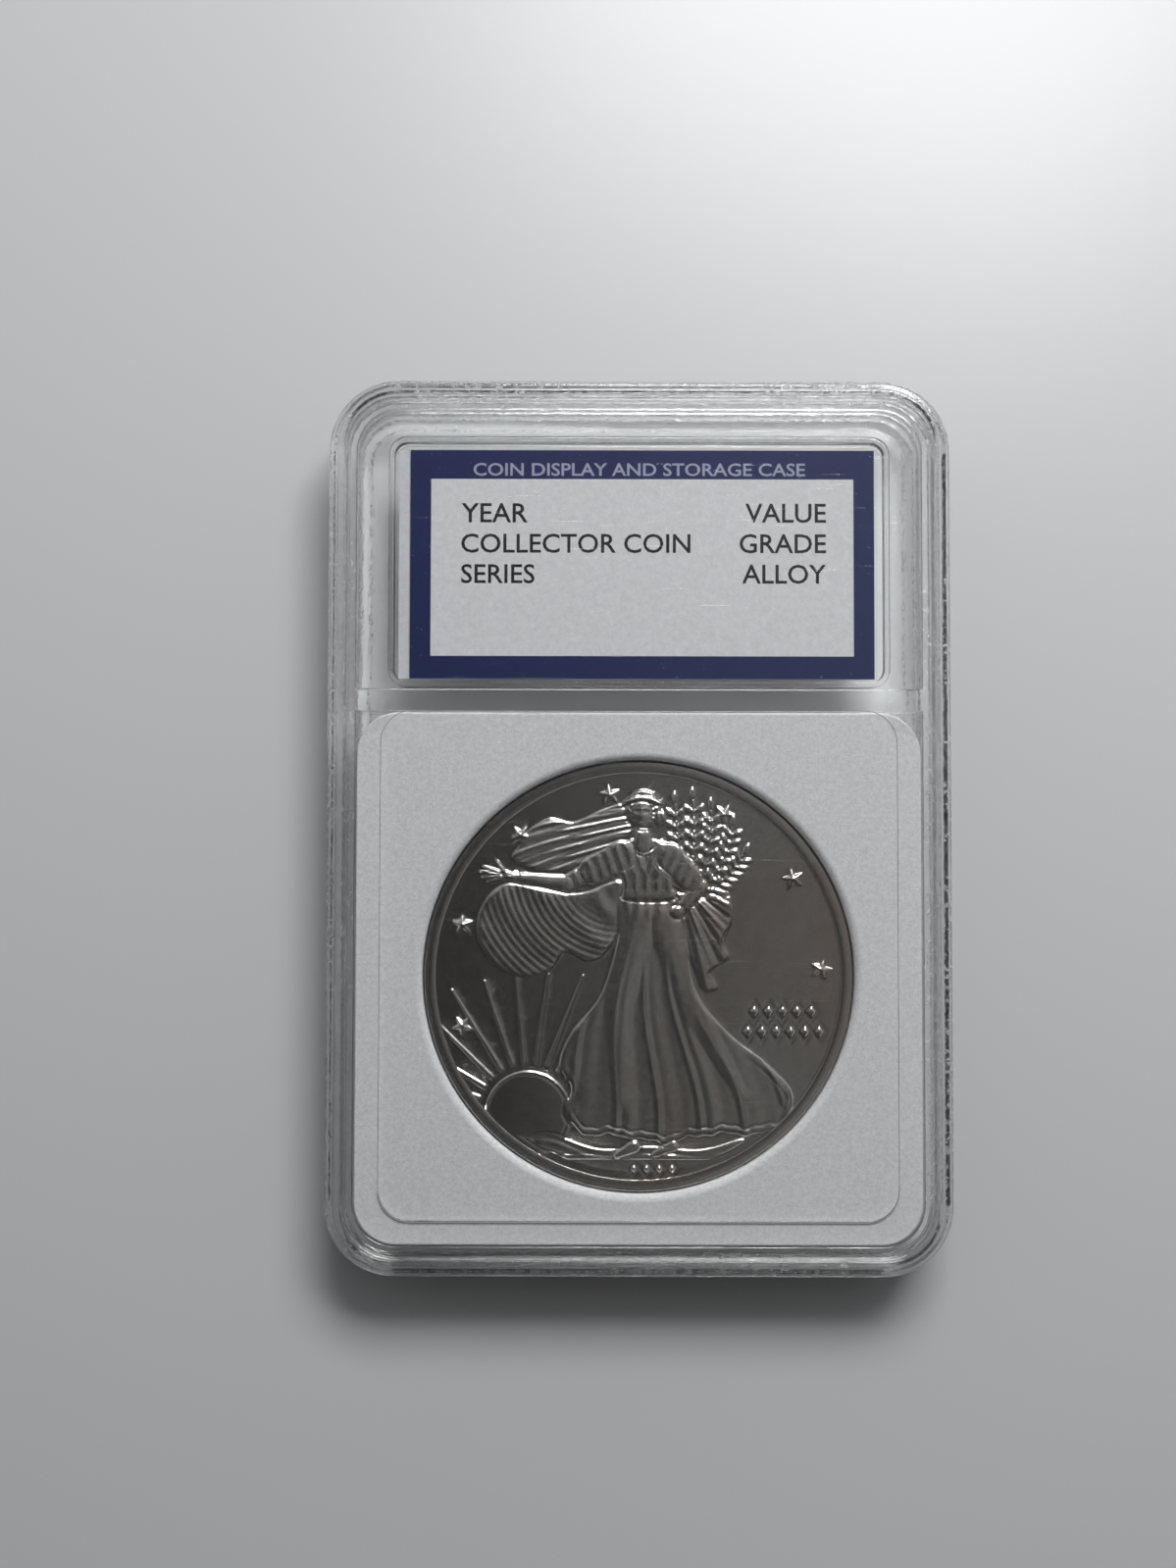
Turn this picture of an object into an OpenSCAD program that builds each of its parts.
// Clear press-together display slab for one large coin. Two moulded shells close on a tongue and
// groove round a foam insert, the coin and two cards that lie back to back.
// The slab lies flat: X is its width, Y its length towards the cards, Z up out of the front.
// The origin is the middle of the plane that the foot stands on.

/* [Shells] */
// Outside width
holder_w = 58.7; // [49:0.1:74]
// Outside length
holder_l = 84.1; // [80:0.1:104]
// Height of the rear shell up to the seam, with its foot
rear_h = 4.2; // [3.6:0.1:5.4]
// Height of the front shell from the seam up to the top of its rim
front_h = 4.4; // [3.8:0.1:5.6]
// Radius of the outside corners
corner_r = 6.6; // [5.4:0.1:9]
// Thickness of the side walls
wall_t = 2.5; // [2.1:0.05:3]
// Thickness of the front and rear plates
plate_t = 1.4; // [1.1:0.05:1.7]

/* [Stacking rim and foot] */
// Distance from the outside edge to the front rim
rim_inset = 0.95; // [0.7:0.05:1.5]
// Width of the front rim
rim_w = 0.85; // [0.6:0.05:1.4]
// Height of the front rim above the front plate
rim_h = 0.8; // [0.4:0.05:1]
// Width of the foot under the rear plate
foot_w = 1.2; // [0.8:0.05:2]
// Height of the foot under the rear plate
foot_h = 0.7; // [0.4:0.05:0.8]
// Space between the foot and the rim of the slab that it stacks on
stack_gap = 0.3; // [0.15:0.05:0.6]

/* [Tongue and groove] */
// Distance from the outside edge to the tongue
tongue_inset = 0.9; // [0.7:0.05:1.1]
// Thickness of the tongue
tongue_w = 0.7; // [0.5:0.05:0.9]
// Height of the tongue above the seam
tongue_h = 1; // [0.6:0.05:1.3]
// Space between the tongue and each wall of the groove
joint_gap = 0.1; // [0.05:0.01:0.2]

/* [Divider and windows] */
// Length of the chamber for the coin
coin_room_l = 50.3; // [50:0.1:54]
// Width of the divider bar
divider_w = 2.1; // [1.4:0.1:3]
// Space left between the shells' halves of the divider
divider_gap = 0.1; // [0.05:0.05:0.4]
// Distance from the chamber's walls to the edge of the coin window
window_margin = 2.45; // [1.6:0.05:3]
// Thickness of the window panels inside the front plate
panel_t = 0.2; // [0.1:0.05:0.3]
// Depth of the window recesses under the rear plate
recess_t = 0.2; // [0.1:0.05:0.3]
// Corner radius of the coin window
window_r = 3; // [1.5:0.1:4]

/* [Card seat] */
// Distance from the chamber's side walls to the card seat
seat_side_gap = 3.1; // [2:0.1:4]
// Distance from the divider to the card seat
seat_near_gap = 0.15; // [0.1:0.05:0.6]
// Distance from the end wall to the card seat
seat_far_gap = 2.7; // [1.5:0.1:3.5]
// Corner radius of the seat and of the card window
seat_r = 1.75; // [1:0.05:2.2]
// Width of the seat's wall
seat_w = 3; // [2.5:0.1:3.6]
// Width of the kerb round the cards
kerb_w = 0.5; // [0.4:0.05:0.6]
// Height of the kerb above the seat
kerb_h = 0.65; // [0.6:0.05:0.9]

/* [Coin] */
// Diameter of the coin
coin_d = 40.6; // [33:0.1:42]
// Thickness of the coin at its rim
coin_t = 2.98; // [2.4:0.02:3.6]
// Width of the coin's raised rim
coin_rim_w = 1.1; // [0.8:0.05:1.6]
// Depth of the coin's faces below its rim
coin_dish = 0.35; // [0.2:0.05:0.5]

/* [Foam insert] */
// Space between the insert and the chamber's walls
insert_gap = 0.15; // [0.1:0.05:0.3]
// Space between the coin and the hole's wall
coin_gap = 0.15; // [0.1:0.05:0.3]
// Distance from the middle of the insert to the middle of the coin, towards the cards
coin_offset = 0.1; // [0:0.05:0.3]

/* [Cards] */
// Thickness of each card
card_t = 0.25; // [0.2:0.01:0.28]
// Space between a centred card and the kerb at each side
card_play_x = 1.2; // [0.9:0.05:1.4]
// Space between a centred card and the kerb at each end
card_play_y = 0.5; // [0.3:0.05:0.6]
// How far the front card lies to the right of the middle
front_card_x = 0.3; // [-0.8:0.05:0.8]
// How far the rear card lies to the right of the middle
rear_card_x = -0.8; // [-0.8:0.05:0.8]
// How far both cards lie towards the cards' end from the middle of the seat
cards_y = -0.2; // [-0.25:0.05:0.25]

/* [Hidden] */
$fn = 64;
// Extra length of a cut past the face that it opens through
cut = 1;
// Height play of the insert and of the seat under the window panels
lid_gap = 0.15;

seam_z = rear_h;
top_z = rear_h + front_h;
floor_z = foot_h + plate_t;
plate_top_z = top_z - rim_h;
ceiling_z = plate_top_z - plate_t;
panel_z = ceiling_z - panel_t;

room_w = holder_w - 2 * wall_t;
room_l = holder_l - 2 * wall_t;
room_r = corner_r - wall_t;
coin_room_y0 = -room_l / 2;
divider_y0 = coin_room_y0 + coin_room_l;
divider_y1 = divider_y0 + divider_w;
card_room_y1 = room_l / 2;

insert_w = room_w - 2 * insert_gap;
insert_l = coin_room_l - 2 * insert_gap;
insert_t = panel_z - lid_gap - floor_z;
insert_r = room_r - insert_gap;
insert_y = (coin_room_y0 + divider_y0) / 2;
coin_y = insert_y + coin_offset;

window_w = room_w - 2 * window_margin;
window_y0 = coin_room_y0 + window_margin;
window_l = divider_y0 - window_y0;
window_y = window_y0 + window_l / 2;

kerb_top_z = panel_z - lid_gap;
seat_z = kerb_top_z - kerb_h;
seat_y0 = divider_y1 + seat_near_gap;
seat_l = card_room_y1 - seat_far_gap - seat_y0;
seat_y = seat_y0 + seat_l / 2;
seat_out_w = room_w - 2 * seat_side_gap;
card_w = seat_out_w - 2 * kerb_w - 2 * card_play_x;
card_l = seat_l - 2 * kerb_w - 2 * card_play_y;

foot_inset = rim_inset + rim_w + stack_gap;

// A rectangle with round corners, centred on the origin
module rounded_rect(w, l, r) {
  square([w - 2 * r, l], center = true);
  square([w, l - 2 * r], center = true);
  for (x = [-1, 1], y = [-1, 1])
    translate([x * (w / 2 - r), y * (l / 2 - r)]) circle(r = r);
}

// The slab's outline, moved inwards by inset
module slab_outline(inset) {
  rounded_rect(holder_w - 2 * inset, holder_l - 2 * inset, corner_r - inset);
}

// A closed ring that follows the slab's outline
module slab_ring(inset, width) {
  difference() {
    slab_outline(inset);
    slab_outline(inset + width);
  }
}

// A flat shape raised from one height to another
module raise(z0, z1) {
  translate([0, 0, z0]) linear_extrude(height = z1 - z0) children();
}

// The bar between the two chambers, from one side wall to the other
module divider_plan() {
  translate([-room_w / 2 - wall_t / 2, divider_y0]) square([room_w + wall_t, divider_w]);
}

// The coin window's outline
module coin_window_plan() {
  translate([0, window_y]) rounded_rect(window_w, window_l, window_r);
}

// The card window's outline, moved inwards by inset
module card_window_plan(inset = 0) {
  translate([0, seat_y])
    rounded_rect(seat_out_w - 2 * inset, seat_l - 2 * inset, max(seat_r - inset, kerb_w));
}

// Tray with side walls, tongue, half divider, card seat and stacking foot
module rear_shell() {
  color("lightcyan", 0.4) difference() {
    union() {
      raise(foot_h, floor_z) slab_outline(0);
      raise(0, foot_h) slab_ring(foot_inset, foot_w);
      raise(floor_z, seam_z) slab_ring(0, wall_t);
      raise(seam_z, seam_z + tongue_h) slab_ring(tongue_inset, tongue_w);
      raise(floor_z, seam_z) intersection() {
        divider_plan();
        slab_outline(wall_t / 2);
      }
      raise(floor_z, seat_z) difference() {
        card_window_plan();
        card_window_plan(seat_w);
      }
      raise(seat_z, kerb_top_z) difference() {
        card_window_plan();
        card_window_plan(kerb_w);
      }
    }
    raise(foot_h - cut, foot_h + recess_t) coin_window_plan();
    raise(foot_h - cut, foot_h + recess_t) card_window_plan();
  }
}

// Cover with stacking rim, groove, half divider and two window panels
module front_shell() {
  color("azure", 0.4) difference() {
    union() {
      raise(ceiling_z, plate_top_z) slab_outline(0);
      raise(plate_top_z, top_z) slab_ring(rim_inset, rim_w);
      raise(seam_z, ceiling_z) slab_ring(0, wall_t);
      raise(seam_z + divider_gap, ceiling_z) intersection() {
        divider_plan();
        slab_outline(wall_t / 2);
      }
      raise(panel_z, ceiling_z) coin_window_plan();
      raise(panel_z, ceiling_z) card_window_plan();
    }
    raise(seam_z - cut, seam_z + tongue_h + joint_gap)
      slab_ring(tongue_inset - joint_gap, tongue_w + 2 * joint_gap);
  }
}

// Foam plate that fills the coin chamber, with a round hole for the coin
module foam_insert() {
  color("white") difference() {
    raise(floor_z, floor_z + insert_t)
      translate([0, insert_y]) rounded_rect(insert_w, insert_l, insert_r);
    translate([0, coin_y, floor_z - cut])
      cylinder(h = insert_t + 2 * cut, r = coin_d / 2 + coin_gap, $fn = 96);
  }
}

// Coin with a raised rim round both of its faces
module coin() {
  coin_r = coin_d / 2;
  color("silver") translate([0, coin_y, floor_z]) difference() {
    cylinder(h = coin_t, r = coin_r, $fn = 96);
    translate([0, 0, -cut])
      cylinder(h = coin_dish + cut, r = coin_r - coin_rim_w, $fn = 96);
    translate([0, 0, coin_t - coin_dish])
      cylinder(h = coin_dish + cut, r = coin_r - coin_rim_w, $fn = 96);
  }
}

// One card, lying on the seat or on the card below it
module card(x, z) {
  translate([x, seat_y + cards_y, z]) linear_extrude(height = card_t)
    square([card_w, card_l], center = true);
}

// Card that is read through the back
module rear_label() {
  color("ivory") card(rear_card_x, seat_z);
}

// Card that is read through the front
module front_label() {
  color("darkblue") card(front_card_x, seat_z + card_t);
}

rear_shell();
front_shell();
foam_insert();
coin();
rear_label();
front_label();
